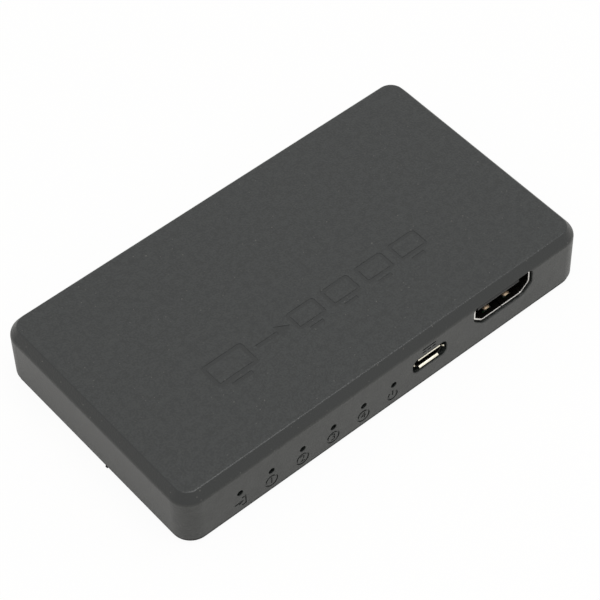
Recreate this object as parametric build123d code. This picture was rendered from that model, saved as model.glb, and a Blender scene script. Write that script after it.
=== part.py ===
from build123d import *
import os

# Splitter box with one HDMI input and a micro-USB power inlet in front, and four HDMI outputs at the back.
# All lengths are in millimetres. X runs along the front to the right, Y runs to the back and Z up.
# The origin is the centre of the footprint, on the surface that the rubber feet stand on.

# Case
case_width = 100.0
case_depth = 56.0
case_corner_radius = 4.4
edge_slope_run = 1.5
edge_slope_drop = 2.15
shell_wall = 1.8
cover_inset = 0.25
cover_edge_height = 1.0
cover_plate_thickness = 1.5
cover_clearance = 0.15
cover_lip_wall = 1.2
cover_lip_height = 1.2
ceiling_gap = 0.5

# Screw bosses in the shell's corners, and the screws that hold the cover
boss_width = 5.2
boss_from_wall = 3.4
boss_clearance = 0.4
screw_radius = 1.25
screw_clearance = 0.05
screw_length = 8.0
screw_head_radius = 2.4
screw_head_height = 0.9
boss_hole_extra_depth = 0.8
fastener_sides = 12

# Rubber feet, half sunk in square pockets
foot_width = 7.4
foot_corner_radius = 1.2
foot_thickness = 1.0
foot_proud = 0.5
foot_from_screw_x = 9.0
foot_from_screw_y = 2.2

# Board and what holds it
board_thickness = 1.6
board_gap = 0.3
standoff_height = 2.4
pin_width = 3.0
post_from_edge = 3.0
post_depth_share = 0.3
board_screw_post_width = 4.4
board_screw_radius = 0.95
board_screw_head_radius = 1.8
board_screw_head_height = 1.2
board_screw_grip = 2.8

# HDMI receptacles
output_count = 4
hdmi_in_from_side = 21.2
hdmi_recess = 0.5
hdmi_inner_width = 14.0
hdmi_inner_height = 4.55
hdmi_slope_run = 1.95
hdmi_slope_rise = 1.75
hdmi_corner_radius = 0.4
hdmi_wall = 0.35
hdmi_length = 11.0
hdmi_lift = 0.73
hdmi_port_gap = 0.35
hdmi_seam_gap = 0.15
hdmi_tongue_width = 10.9
hdmi_tongue_thickness = 1.0
hdmi_tongue_height = 1.75
hdmi_tongue_recess = 0.9
hdmi_tongue_taper = 0.3
hdmi_body_length = 3.4
hdmi_contact_count = 19
hdmi_contact_pitch = 0.5
hdmi_contact_width = 0.28
hdmi_contact_thickness = 0.15
hdmi_contact_setback = 0.6
hdmi_spring_spacing = 5.2
hdmi_spring_width = 1.2
hdmi_spring_slot = 0.35
hdmi_spring_front = 1.0
hdmi_spring_length = 4.2
hdmi_spring_rise = 0.5
hdmi_spring_crest_share = 0.45
hdmi_leg_width = 2.0
hdmi_leg_shoulder = 0.6
hdmi_leg_middle = 6.4

# Micro-USB receptacle
usb_to_hdmi = 19.1
usb_recess = 0.2
usb_inner_width = 6.9
usb_inner_height = 1.85
usb_slope_run = 0.75
usb_slope_rise = 0.95
usb_corner_radius = 0.25
usb_wall = 0.25
usb_length = 5.0
usb_lip_run = 0.5
usb_lip_rise = 0.33
usb_lip_side_margin = 0.65
usb_port_gap_side = 0.3
usb_port_gap_below = 0.17
usb_port_gap_above = 0.62
usb_port_radius = 1.4
usb_port_radius_limit_share = 0.45
usb_tongue_width = 3.9
usb_tongue_thickness = 0.6
usb_tongue_height = 0.75
usb_tongue_recess = 0.9
usb_body_length = 1.6
usb_contact_count = 5
usb_contact_pitch = 0.65
usb_contact_width = 0.3
usb_contact_thickness = 0.12
usb_contact_setback = 0.3
usb_leg_width = 0.9
usb_leg_middle = 3.4

# Parts shared by both kinds of receptacle
tail_gap = 0.1
tail_thickness = 0.2
insulator_clearance = 0.12
leg_slot_clearance = 0.15
leg_below_board = 0.5

# Status indicators and the holes that they shine through
led_count = 6
led_from_side = 12.8
led_to_usb = 9.25
led_hole_radius = 0.68
led_axis_height = 0.75
led_width = 2.8
led_depth = 1.0
led_height = 1.5
led_behind_wall = 0.55
led_lens_width = 1.6
led_lens_height = 0.4

# Main chip, a square package with leads on its four sides
chip_width = 10.0
chip_height = 1.4
chip_lift = 0.1
lead_count_per_side = 11
lead_pitch = 0.8
lead_width = 0.35
lead_thickness = 0.15
lead_reach = 1.0
lead_exit_height = 0.7

# Small packages on the board: width, depth and height of each
memory_size = (4.9, 3.9, 1.45)
memory_legs_per_side = 4
main_regulator_size = (6.5, 3.5, 1.6)
main_regulator_legs_per_side = 3
core_regulator_size = (2.9, 1.6, 1.1)
core_regulator_legs_per_side = 3
leg_width = 0.4
leg_reach = 1.0
leg_thickness = 0.2
crystal_size = (3.2, 2.5, 0.8)
inductor_width = 6.0
inductor_height = 2.8
inductor_corner_cut = 1.2
inductor_cap_radius = 2.6
inductor_cap_height = 0.4
capacitor_base_width = 6.6
capacitor_base_height = 0.9
capacitor_base_corner_cut = 1.2
capacitor_radius = 3.15
capacitor_height = 5.0
ceramic_size = (1.6, 0.8, 0.8)
resistor_size = (1.6, 0.8, 0.45)
surge_array_size = (2.5, 1.0, 0.6)
surge_array_gap = 0.8
passives_per_row = 6

# Places on the board, as shares of the free bay between the two rows of receptacles
chip_place_shares = (0.05, 0.0)
memory_place_shares = (-0.19, -0.06)
crystal_place_shares = (-0.09, 0.1)
inductor_place_shares = (-0.37, 0.0)
core_regulator_place_shares = (-0.275, 0.06)
main_regulator_place_shares = (0.23, 0.0)
capacitor_place_shares = (0.37, 0.0)
passive_row_depth_share = 0.4
passive_row_start_share = 0.16
passive_row_end_share = 0.46

# How far every cut runs past the wall that it opens
overrun = 1.0

# Heights of the stack, from the surface under the feet to the top face
cover_z = foot_proud
rim_z = cover_z + cover_edge_height
plate_z = cover_z + cover_plate_thickness
board_z = plate_z + standoff_height
board_top_z = board_z + board_thickness
hdmi_outer_height = hdmi_inner_height + 2 * hdmi_wall
hdmi_top_z = board_top_z + hdmi_lift + hdmi_outer_height
ceiling_z = hdmi_top_z + ceiling_gap
slope_z = hdmi_top_z + hdmi_port_gap
top_z = slope_z + edge_slope_drop

# Outlines inside the walls
inner_width = case_width - 2 * shell_wall
inner_depth = case_depth - 2 * shell_wall
inner_corner_radius = case_corner_radius - shell_wall
board_width = inner_width - 2 * board_gap
board_depth = inner_depth - 2 * board_gap
boss_x = inner_width / 2 - boss_from_wall
boss_y = inner_depth / 2 - boss_from_wall
post_x = board_width / 2 - post_from_edge
post_y = board_depth / 2 * post_depth_share

# Places along the front and the back
hdmi_in_x = case_width / 2 - hdmi_in_from_side
usb_x = hdmi_in_x - usb_to_hdmi
led_first_x = led_from_side - case_width / 2
led_pitch = (usb_x - led_to_usb - led_first_x) / (led_count - 1)
led_places = [led_first_x + led_pitch * index for index in range(led_count)]
output_row = 2 * (boss_x - boss_width / 2 - 2 * boss_clearance)
output_pitch = output_row / output_count
output_places = [output_row / 2 - output_pitch * (index + 0.5) for index in range(output_count)]

# Inner floors and roofs of the receptacles, measured up from the board
hdmi_floor = hdmi_lift + hdmi_wall
hdmi_roof = hdmi_floor + hdmi_inner_height
usb_floor = usb_wall
usb_roof = usb_floor + usb_inner_height
hdmi_depth = hdmi_length + tail_gap + tail_thickness

# The free bay of the board
bay_width = board_width - 4 * post_from_edge
bay_depth = case_depth - 2 * (hdmi_recess + hdmi_depth + surge_array_gap + surge_array_size[1])

# A sketch on this plane is seen from the front, and grows to the back when extruded
front_plane = Plane(origin=(0, 0, 0), x_dir=(-1, 0, 0), z_dir=(0, 1, 0))


def block(x_range, y_range, z_range):
    """A box between two places on each axis."""
    sides = [high - low for low, high in (x_range, y_range, z_range)]
    middle = [(high + low) / 2 for low, high in (x_range, y_range, z_range)]
    return Pos(*middle) * Box(*sides)


def foot(x, y, grow, z_range):
    """A rubber foot with round corners, grown for its pocket."""
    width = foot_width + 2 * grow
    return Pos(x, y, 0) * slab(width, width, foot_corner_radius + grow, z_range)


def slab(width, depth, radius, z_range):
    """An upright slab with round corners, centred on the Z axis."""
    low, high = z_range
    return Pos(0, 0, low) * extrude(RectangleRounded(width, depth, radius), high - low)


def post(x, y, radius, z_range):
    """An upright round post."""
    low, high = z_range
    return Pos(x, y, (low + high) / 2) * Cylinder(radius, high - low)


def pin(x, y, width, z_range):
    """An upright square pin that holds the board."""
    half = width / 2
    return block((x - half, x + half), (y - half, y + half), z_range)


def fastener(x, y, radius, z_range):
    """A stand-in for a screw's head or shank, or for its hole, with few sides."""
    low, high = z_range
    return Pos(x, y, low) * extrude(RegularPolygon(radius, fastener_sides), high - low)


def corners(x, y):
    """The four places that mirror one place about both upright middle planes."""
    return [(side * x, end * y) for side in (-1, 1) for end in (-1, 1)]


def corner_notches(z_range):
    """Room for the screw bosses, cut from the corners of what fills the inner outline."""
    keep_x = boss_x - boss_width / 2 - boss_clearance
    keep_y = boss_y - boss_width / 2 - boss_clearance
    notches = []
    for side in (-1, 1):
        for end in (-1, 1):
            across = sorted((side * keep_x, side * (inner_width / 2 + overrun)))
            along = sorted((end * keep_y, end * (inner_depth / 2 + overrun)))
            notches.append(block(across, along, z_range))
    return notches


def receptacle_profile(width, height, slope_run, slope_rise, radius, grow=0):
    """A receptacle's outline from the front: wide side up, sloped lower corners, foot at zero.

    Shrunk for the body inside, it keeps sharp corners, which clear the shell's round ones."""
    half = width / 2
    flat = half - slope_run
    outline = [
        (-half, height), (-half, slope_rise), (-flat, 0),
        (flat, 0), (half, slope_rise), (half, height),
    ]
    face = make_face(Polyline(*outline, close=True))
    if grow:
        face = offset(face, amount=grow, kind=Kind.INTERSECTION)
    if grow < 0:
        return face
    return fillet(face.vertices(), radius + grow)


def hdmi_profile(grow=0):
    """The HDMI shell's inner outline, grown outward."""
    return receptacle_profile(
        hdmi_inner_width, hdmi_inner_height, hdmi_slope_run, hdmi_slope_rise, hdmi_corner_radius, grow
    )


def usb_profile(grow=0):
    """The micro-USB shell's inner outline, grown outward."""
    return receptacle_profile(
        usb_inner_width, usb_inner_height, usb_slope_run, usb_slope_rise, usb_corner_radius, grow
    )


def along_y(profile, y_range, z):
    """A front outline extruded to the back, with its foot at a height."""
    low, high = y_range
    return Pos(0, low, z) * extrude(front_plane * profile, high - low)


def side_strip(points, x_middle, width):
    """A strip of even width across X, from its outline in Y and Z."""
    face = make_face(Polyline(*[(0, y, z) for y, z in points], close=True))
    return Pos(x_middle - width / 2, 0, 0) * extrude(face, width, dir=(1, 0, 0))


def at_input(shape):
    """Place a receptacle at the HDMI input, its mouth to the front."""
    return Pos(hdmi_in_x, hdmi_recess - case_depth / 2, board_top_z) * shape


def at_output(index, shape):
    """Place a receptacle at one of the outputs, its mouth to the back."""
    return Pos(output_places[index], case_depth / 2 - hdmi_recess, board_top_z) * Rot(0, 0, 180) * shape


def at_usb(shape):
    """Place a receptacle at the power inlet, its mouth to the front."""
    return Pos(usb_x, usb_recess - case_depth / 2, board_top_z) * shape


def on_board(place_shares, shape):
    """Place a component on the board's free bay."""
    return Pos(place_shares[0] * bay_width, place_shares[1] * bay_depth, board_top_z) * shape


def contact_row(count, pitch, width, thickness, heights, y_range, tail_y):
    """Contacts side by side, taking turns at the given heights, each with a tail down to the board."""
    contacts = []
    for index in range(count):
        low = heights[index % len(heights)]
        outline = [
            (y_range[0], low), (y_range[0], low + thickness), (tail_y + tail_thickness, low + thickness),
            (tail_y + tail_thickness, 0), (tail_y, 0), (tail_y, low),
        ]
        contacts.append(side_strip(outline, (index - (count - 1) / 2) * pitch, width))
    return contacts


def hdmi_legs(grow=0):
    """The two legs' tabs that pass through the board, grown for the board's slots."""
    outer = hdmi_inner_width / 2 + hdmi_wall
    half = hdmi_leg_width / 2 + grow
    tabs = []
    for side in (-1, 1):
        across = sorted((side * (outer + grow), side * (outer - hdmi_wall - grow)))
        along = (hdmi_leg_middle - half, hdmi_leg_middle + half)
        tabs.append(block(across, along, (-board_thickness - leg_below_board, 0)))
    return tabs


def hdmi_spring(x_middle):
    """A contact finger of the shell's floor, bent inward, joined to the sheet at its back end."""
    front = hdmi_spring_front + hdmi_spring_slot
    back = hdmi_spring_front + hdmi_spring_length + hdmi_wall
    crest = front + hdmi_spring_crest_share * (back - front)
    outline = [
        (front, hdmi_floor), (crest, hdmi_floor + hdmi_spring_rise), (back, hdmi_floor),
        (back, hdmi_lift), (crest, hdmi_lift + hdmi_spring_rise), (front, hdmi_lift),
    ]
    return side_strip(outline, x_middle, hdmi_spring_width)


def hdmi_shell():
    """The stamped shell: a folded tube with a seam below, spring fingers and two board legs."""
    shell = along_y(hdmi_profile(hdmi_wall), (0, hdmi_length), hdmi_floor)
    shell -= along_y(hdmi_profile(), (0, hdmi_length), hdmi_floor)
    shell -= block((-hdmi_seam_gap / 2, hdmi_seam_gap / 2), (0, hdmi_length), (hdmi_lift, hdmi_floor))
    window_half = hdmi_spring_width / 2 + hdmi_spring_slot
    for side in (-1, 1):
        middle = side * hdmi_spring_spacing / 2
        across = (middle - window_half, middle + window_half)
        along = (hdmi_spring_front, hdmi_spring_front + hdmi_spring_length)
        shell -= block(across, along, (hdmi_lift, hdmi_floor))
        shell += hdmi_spring(middle)
    outer = hdmi_inner_width / 2 + hdmi_wall
    half = hdmi_leg_width / 2 + hdmi_leg_shoulder
    for side in (-1, 1):
        across = sorted((side * outer, side * (outer - hdmi_wall)))
        along = (hdmi_leg_middle - half, hdmi_leg_middle + half)
        shell += block(across, along, (0, hdmi_floor + hdmi_slope_rise))
    for tab in hdmi_legs():
        shell += tab
    return shell


def hdmi_contacts():
    """Nineteen contacts, by turns below and above the tongue, with tails in one row behind the body."""
    low = hdmi_floor + hdmi_tongue_height
    heights = (low - hdmi_contact_thickness, low + hdmi_tongue_thickness)
    front = hdmi_tongue_recess + hdmi_contact_setback
    return contact_row(
        hdmi_contact_count, hdmi_contact_pitch, hdmi_contact_width, hdmi_contact_thickness,
        heights, (front, hdmi_length), hdmi_length + tail_gap,
    )


def hdmi_insulator():
    """The plastic body that fills the shell's back, with a tongue that tapers at its tip."""
    body_front = hdmi_length - hdmi_body_length
    insulator = along_y(hdmi_profile(-insulator_clearance), (body_front, hdmi_length), hdmi_floor)
    low = hdmi_floor + hdmi_tongue_height
    high = low + hdmi_tongue_thickness
    tip = hdmi_tongue_recess
    outline = [
        (body_front, low), (tip + hdmi_tongue_taper, low), (tip, low + hdmi_tongue_taper),
        (tip, high - hdmi_tongue_taper), (tip + hdmi_tongue_taper, high), (body_front, high),
    ]
    insulator += side_strip(outline, 0, hdmi_tongue_width)
    half = (hdmi_contact_count - 1) / 2 * hdmi_contact_pitch + hdmi_contact_width / 2
    for slot_low in (low - hdmi_contact_thickness, high):
        slot_range = (slot_low, slot_low + hdmi_contact_thickness)
        insulator -= block((-half, half), (body_front, hdmi_length), slot_range)
    return insulator


def usb_legs(grow=0):
    """The two stakes that pass through the board, grown for the board's slots."""
    outer = usb_inner_width / 2 + usb_wall
    along = (usb_leg_middle - usb_leg_width / 2 - grow, usb_leg_middle + usb_leg_width / 2 + grow)
    tabs = []
    for side in (-1, 1):
        across = sorted((side * (outer + grow), side * (outer - usb_wall - grow)))
        tabs.append(block(across, along, (-board_thickness - leg_below_board, 0)))
    return tabs


def usb_shell():
    """The stamped shell: a tube with flared lips round its mouth and a stake on each side."""
    shell = along_y(usb_profile(usb_wall), (usb_lip_run, usb_length), usb_floor)
    shell -= along_y(usb_profile(), (usb_lip_run, usb_length), usb_floor)
    top = [
        (usb_lip_run, usb_roof), (0, usb_roof + usb_lip_rise),
        (0, usb_roof + usb_lip_rise + usb_wall), (usb_lip_run, usb_roof + usb_wall),
    ]
    shell += side_strip(top, 0, usb_inner_width - 2 * usb_lip_side_margin)
    bottom = [
        (usb_lip_run, usb_floor), (0, usb_floor - usb_lip_rise),
        (0, usb_floor - usb_lip_rise - usb_wall), (usb_lip_run, usb_floor - usb_wall),
    ]
    shell += side_strip(bottom, 0, usb_inner_width - 2 * usb_slope_run - 2 * usb_corner_radius)
    half = usb_inner_width / 2
    lip_low = usb_floor + usb_slope_rise + usb_corner_radius
    lip_high = usb_roof - usb_corner_radius
    for side in (-1, 1):
        ear = Polyline(
            (side * half, usb_lip_run, lip_low), (side * (half + usb_lip_rise), 0, lip_low),
            (side * (half + usb_lip_rise + usb_wall), 0, lip_low),
            (side * (half + usb_wall), usb_lip_run, lip_low),
            close=True,
        )
        shell += extrude(make_face(ear), lip_high - lip_low, dir=(0, 0, 1))
        across = sorted((side * half, side * (half + usb_wall)))
        along = (usb_leg_middle - usb_leg_width / 2, usb_leg_middle + usb_leg_width / 2)
        shell += block(across, along, (0, lip_high))
    for tab in usb_legs():
        shell += tab
    return shell


def usb_contacts():
    """Five contacts under the tongue."""
    heights = (usb_floor + usb_tongue_height - usb_contact_thickness,)
    front = usb_tongue_recess + usb_contact_setback
    return contact_row(
        usb_contact_count, usb_contact_pitch, usb_contact_width, usb_contact_thickness,
        heights, (front, usb_length), usb_length + tail_gap,
    )


def usb_insulator():
    """The plastic body and the tongue."""
    body_front = usb_length - usb_body_length
    insulator = along_y(usb_profile(-insulator_clearance), (body_front, usb_length), usb_floor)
    low = usb_floor + usb_tongue_height
    half = usb_tongue_width / 2
    insulator += block((-half, half), (usb_tongue_recess, body_front), (low, low + usb_tongue_thickness))
    half = (usb_contact_count - 1) / 2 * usb_contact_pitch + usb_contact_width / 2
    insulator -= block((-half, half), (body_front, usb_length), (low - usb_contact_thickness, low))
    return insulator


def usb_port():
    """The round-cornered opening for the micro-USB receptacle, through the front wall."""
    width = usb_inner_width + 2 * (usb_wall + usb_lip_rise + usb_port_gap_side)
    low = usb_floor - usb_lip_rise - usb_wall - usb_port_gap_below
    high = usb_roof + usb_lip_rise + usb_wall + usb_port_gap_above
    radius = min(usb_port_radius, (high - low) * usb_port_radius_limit_share)
    face = Pos(0, (low + high) / 2) * RectangleRounded(width, high - low, radius)
    return along_y(face, (-usb_recess - overrun, shell_wall + overrun), 0)


def hdmi_port():
    """The opening for an HDMI receptacle, through a wall."""
    profile = hdmi_profile(hdmi_wall + hdmi_port_gap)
    return along_y(profile, (-hdmi_recess - overrun, shell_wall + overrun), hdmi_floor)


def top_shell():
    """The moulded cover: walls and roof in one, sloped edge, port openings, bosses and hold-down pins."""
    full = slab(case_width, case_depth, case_corner_radius, (rim_z, top_z))
    top_face = full.faces().sort_by(Axis.Z)[-1]
    shell = chamfer(top_face.edges(), edge_slope_run, edge_slope_drop, reference=top_face)
    shell -= slab(inner_width, inner_depth, inner_corner_radius, (rim_z - overrun, ceiling_z))
    for x, y in corners(boss_x, boss_y):
        across = sorted((x - x / abs(x) * boss_width / 2, x / abs(x) * inner_width / 2))
        along = sorted((y - y / abs(y) * boss_width / 2, y / abs(y) * inner_depth / 2))
        shell += block(across, along, (plate_z, ceiling_z))
        depth = cover_z + screw_length + boss_hole_extra_depth
        shell -= fastener(x, y, screw_radius + screw_clearance, (plate_z - overrun, depth))
    for x, y in corners(post_x, post_y):
        shell += pin(x, y, pin_width, (board_top_z, ceiling_z))
    shell -= at_input(hdmi_port())
    shell -= at_usb(usb_port())
    for index in range(output_count):
        shell -= at_output(index, hdmi_port())
    hole = Rot(90, 0, 0) * Cylinder(led_hole_radius, shell_wall + 2 * overrun)
    for x in led_places:
        shell -= Pos(x, shell_wall / 2 - case_depth / 2, board_top_z + led_axis_height) * hole
    return shell


def cover_screw(x, y, grow):
    """A flat-headed screw, head down, grown for its hole."""
    head_top = cover_z + screw_head_height
    head = fastener(x, y, screw_head_radius + grow, (cover_z, head_top))
    return head + fastener(x, y, screw_radius + grow, (head_top, cover_z + screw_length))


def bottom_cover():
    """The moulded plate: inset edge, rim inside the shell, board posts, screw holes and foot pockets."""
    flange_width = case_width - 2 * cover_inset
    flange_depth = case_depth - 2 * cover_inset
    cover = slab(flange_width, flange_depth, case_corner_radius - cover_inset, (cover_z, rim_z))
    fit_width = inner_width - 2 * cover_clearance
    fit_depth = inner_depth - 2 * cover_clearance
    fit_radius = inner_corner_radius - cover_clearance
    cover += slab(fit_width, fit_depth, fit_radius, (rim_z, plate_z))
    lip_range = (plate_z, plate_z + cover_lip_height)
    lip = slab(fit_width, fit_depth, fit_radius, lip_range)
    lip_radius = fit_radius - cover_lip_wall
    lip -= slab(fit_width - 2 * cover_lip_wall, fit_depth - 2 * cover_lip_wall, lip_radius, lip_range)
    for notch in corner_notches(lip_range):
        lip -= notch
    cover += lip
    for x, y in corners(post_x, post_y):
        cover += pin(x, y, pin_width, (plate_z, board_z))
    hole_radius = board_screw_radius + screw_clearance
    hole_range = (board_z - board_screw_grip - screw_clearance, board_z)
    for side in (-1, 1):
        cover += pin(side * post_x, 0, board_screw_post_width, (plate_z, board_z))
        cover -= fastener(side * post_x, 0, hole_radius, hole_range)
    for x, y in corners(boss_x, boss_y):
        cover -= cover_screw(x, y, screw_clearance)
    for x, y in corners(boss_x - foot_from_screw_x, boss_y - foot_from_screw_y):
        cover -= foot(x, y, cover_clearance, (cover_z, foot_thickness))
    return cover


def circuit_board():
    """The board, with corner notches for the bosses and holes for screws and legs."""
    across = (-board_width / 2, board_width / 2)
    along = (-board_depth / 2, board_depth / 2)
    board = block(across, along, (board_z, board_top_z))
    for notch in corner_notches((board_z, board_top_z)):
        board -= notch
    for side in (-1, 1):
        board -= fastener(side * post_x, 0, board_screw_radius + leg_slot_clearance, (board_z, board_top_z))
    for slot in hdmi_legs(leg_slot_clearance):
        board -= at_input(slot)
        for index in range(output_count):
            board -= at_output(index, slot)
    for slot in usb_legs(leg_slot_clearance):
        board -= at_usb(slot)
    return board


def board_screws():
    """Two cheese-head screws into the cover's posts."""
    screws = []
    for side in (-1, 1):
        x = side * post_x
        head = fastener(x, 0, board_screw_head_radius, (board_top_z, board_top_z + board_screw_head_height))
        screws.append(head + fastener(x, 0, board_screw_radius, (board_z - board_screw_grip, board_top_z)))
    return screws


def status_led(x):
    """A side-looking indicator: a small package with a narrower lens towards its hole."""
    front = shell_wall + led_behind_wall - case_depth / 2
    package = block((x - led_width / 2, x + led_width / 2), (front, front + led_depth), (0, led_height))
    across = (x - led_lens_width / 2, x + led_lens_width / 2)
    lens = block(across, (front - led_lens_height, front), (0, led_height))
    return Pos(0, 0, board_top_z) * (package + lens)


def splitter_chip():
    """The main chip's package, held just off the board by its leads."""
    return Pos(0, 0, chip_lift) * plain_package((chip_width, chip_width, chip_height))


def chip_leads():
    """Leads on four sides, each slanting from the package's side to the board."""
    half = chip_width / 2
    outline = [
        (half, lead_exit_height), (half, lead_exit_height - lead_thickness),
        (half + lead_reach - lead_thickness, 0), (half + lead_reach, 0),
    ]
    leads = []
    for turn in range(4):
        for index in range(lead_count_per_side):
            place = (index - (lead_count_per_side - 1) / 2) * lead_pitch
            lead = Rot(0, 0, 90 * turn) * side_strip(outline, place, lead_width)
            leads.append(on_board(chip_place_shares, lead))
    return leads


def legged_package(size, legs_per_side):
    """A small moulded package with flat legs on its two long sides."""
    width, depth, height = size
    package = block((-width / 2, width / 2), (-depth / 2, depth / 2), (0, height))
    pitch = width / legs_per_side
    for index in range(legs_per_side):
        x = (index - (legs_per_side - 1) / 2) * pitch
        reach = depth / 2 + leg_reach
        package += block((x - leg_width / 2, x + leg_width / 2), (-reach, reach), (0, leg_thickness))
    return package


def plain_package(size):
    """A small block on the board."""
    width, depth, height = size
    return block((-width / 2, width / 2), (-depth / 2, depth / 2), (0, height))


def power_inductor():
    """A shielded inductor: a block with cut corners and a round cap."""
    outline = chamfer(Rectangle(inductor_width, inductor_width).vertices(), inductor_corner_cut)
    base = extrude(outline, inductor_height)
    return base + post(0, 0, inductor_cap_radius, (inductor_height, inductor_height + inductor_cap_height))


def bulk_capacitor():
    """An electrolytic can on its plastic base, with two of the base's corners cut."""
    outline = Rectangle(capacitor_base_width, capacitor_base_width)
    outline = chamfer(outline.vertices().group_by(Axis.X)[0], capacitor_base_corner_cut)
    can = post(0, 0, capacitor_radius, (capacitor_base_height, capacitor_height))
    return extrude(outline, capacitor_base_height) + can


def passive_rows(size, end):
    """Small blocks in a row on each side of the main chip, towards one end of the bay."""
    span = passive_row_end_share - passive_row_start_share
    blocks = []
    for side in (-1, 1):
        for index in range(passives_per_row):
            share = side * (passive_row_start_share + span * index / (passives_per_row - 1))
            blocks.append(on_board((share, end * passive_row_depth_share), plain_package(size)))
    return blocks


def surge_arrays():
    """A protection array behind each HDMI receptacle."""
    y = hdmi_depth + surge_array_gap + surge_array_size[1] / 2
    array = Pos(0, y, 0) * plain_package(surge_array_size)
    return [at_input(array)] + [at_output(index, array) for index in range(output_count)]


def moved(solids, place, *arguments):
    """Each solid of a group, moved by a placing function."""
    return [place(*arguments, solid) for solid in solids]


parts = {
    "top_shell": top_shell(),
    "bottom_cover": bottom_cover(),
    "circuit_board": circuit_board(),
    "cover_screws": [cover_screw(x, y, 0) for x, y in corners(boss_x, boss_y)],
    "board_screws": board_screws(),
    "micro_usb_shell": at_usb(usb_shell()),
    "micro_usb_insulator": at_usb(usb_insulator()),
    "micro_usb_contacts": moved(usb_contacts(), at_usb),
    "input_hdmi_shell": at_input(hdmi_shell()),
    "input_hdmi_insulator": at_input(hdmi_insulator()),
    "input_hdmi_contacts": moved(hdmi_contacts(), at_input),
    "splitter_chip": on_board(chip_place_shares, splitter_chip()),
    "splitter_chip_leads": chip_leads(),
    "memory_chip": on_board(memory_place_shares, legged_package(memory_size, memory_legs_per_side)),
    "main_regulator": on_board(
        main_regulator_place_shares, legged_package(main_regulator_size, main_regulator_legs_per_side)
    ),
    "core_regulator": on_board(
        core_regulator_place_shares, legged_package(core_regulator_size, core_regulator_legs_per_side)
    ),
    "crystal": on_board(crystal_place_shares, plain_package(crystal_size)),
    "power_inductor": on_board(inductor_place_shares, power_inductor()),
    "bulk_capacitor": on_board(capacitor_place_shares, bulk_capacitor()),
    "ceramic_capacitors": passive_rows(ceramic_size, 1),
    "chip_resistors": passive_rows(resistor_size, -1),
    "surge_arrays": surge_arrays(),
}
for number in range(1, output_count + 1):
    parts[f"output_{number}_hdmi_shell"] = at_output(number - 1, hdmi_shell())
    parts[f"output_{number}_hdmi_insulator"] = at_output(number - 1, hdmi_insulator())
    parts[f"output_{number}_hdmi_contacts"] = moved(hdmi_contacts(), at_output, number - 1)
for number, x in enumerate(led_places, start=1):
    parts[f"status_led_{number}"] = status_led(x)
foot_places = corners(boss_x - foot_from_screw_x, boss_y - foot_from_screw_y)
for number, (x, y) in enumerate(foot_places, start=1):
    parts[f"rubber_foot_{number}"] = foot(x, y, 0, (0, foot_thickness))

os.makedirs("parts", exist_ok=True)
for name, shape in parts.items():
    if isinstance(shape, list):
        shape = Compound(children=shape)
    export_step(shape, f"parts/{name}.step")
print("case height over the feet", round(top_z, 2), "board top", round(board_top_z, 2))
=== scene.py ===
import math

import bmesh
import bpy
from mathutils import Matrix, Vector


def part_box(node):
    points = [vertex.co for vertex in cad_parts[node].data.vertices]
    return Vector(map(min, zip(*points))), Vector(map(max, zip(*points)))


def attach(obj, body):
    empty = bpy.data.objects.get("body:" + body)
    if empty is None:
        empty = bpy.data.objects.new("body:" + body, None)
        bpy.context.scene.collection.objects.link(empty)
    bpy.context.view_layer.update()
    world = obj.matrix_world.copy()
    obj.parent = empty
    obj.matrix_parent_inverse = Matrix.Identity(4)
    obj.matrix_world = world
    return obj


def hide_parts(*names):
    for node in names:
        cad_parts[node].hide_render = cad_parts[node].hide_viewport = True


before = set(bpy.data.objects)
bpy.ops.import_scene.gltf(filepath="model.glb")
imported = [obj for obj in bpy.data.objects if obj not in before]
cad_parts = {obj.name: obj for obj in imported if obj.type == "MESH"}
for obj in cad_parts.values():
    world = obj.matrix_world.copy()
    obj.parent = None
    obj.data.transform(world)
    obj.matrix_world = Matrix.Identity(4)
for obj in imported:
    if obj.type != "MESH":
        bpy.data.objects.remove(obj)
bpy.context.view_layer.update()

# Camera: a long lens from the front left and above, a little rolled, as the splitter is seen in its product
# picture. The aim and distance come from the box's edges, measured on the picture.
azimuth, elevation, roll = math.radians(-38.8966), math.radians(50.9353), math.radians(-1.8623)
level_part = math.cos(elevation)
back = Vector((math.sin(azimuth) * level_part, -math.cos(azimuth) * level_part, math.sin(elevation)))
level_right = Vector((math.cos(azimuth), math.sin(azimuth), 0))
level_up = back.cross(level_right)
right = math.cos(roll) * level_right + math.sin(roll) * level_up
up = math.cos(roll) * level_up - math.sin(roll) * level_right
aim_right, aim_up, distance = 0.00057, 0.0039, 0.46775
feet_lift = Vector((0, 0, 0.0005))
eye = right * aim_right + up * aim_up + back * distance + feet_lift
lens = bpy.data.cameras.new("camera")
lens.lens = 142.476
lens.sensor_width = 36
lens.sensor_fit = "HORIZONTAL"
lens.clip_start = 0.01
camera = bpy.data.objects.new("camera", lens)
camera.matrix_world = Matrix.Translation(eye) @ Matrix((right, up, back)).transposed().to_4x4()
bpy.context.collection.objects.link(camera)
bpy.context.scene.camera = camera


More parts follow.
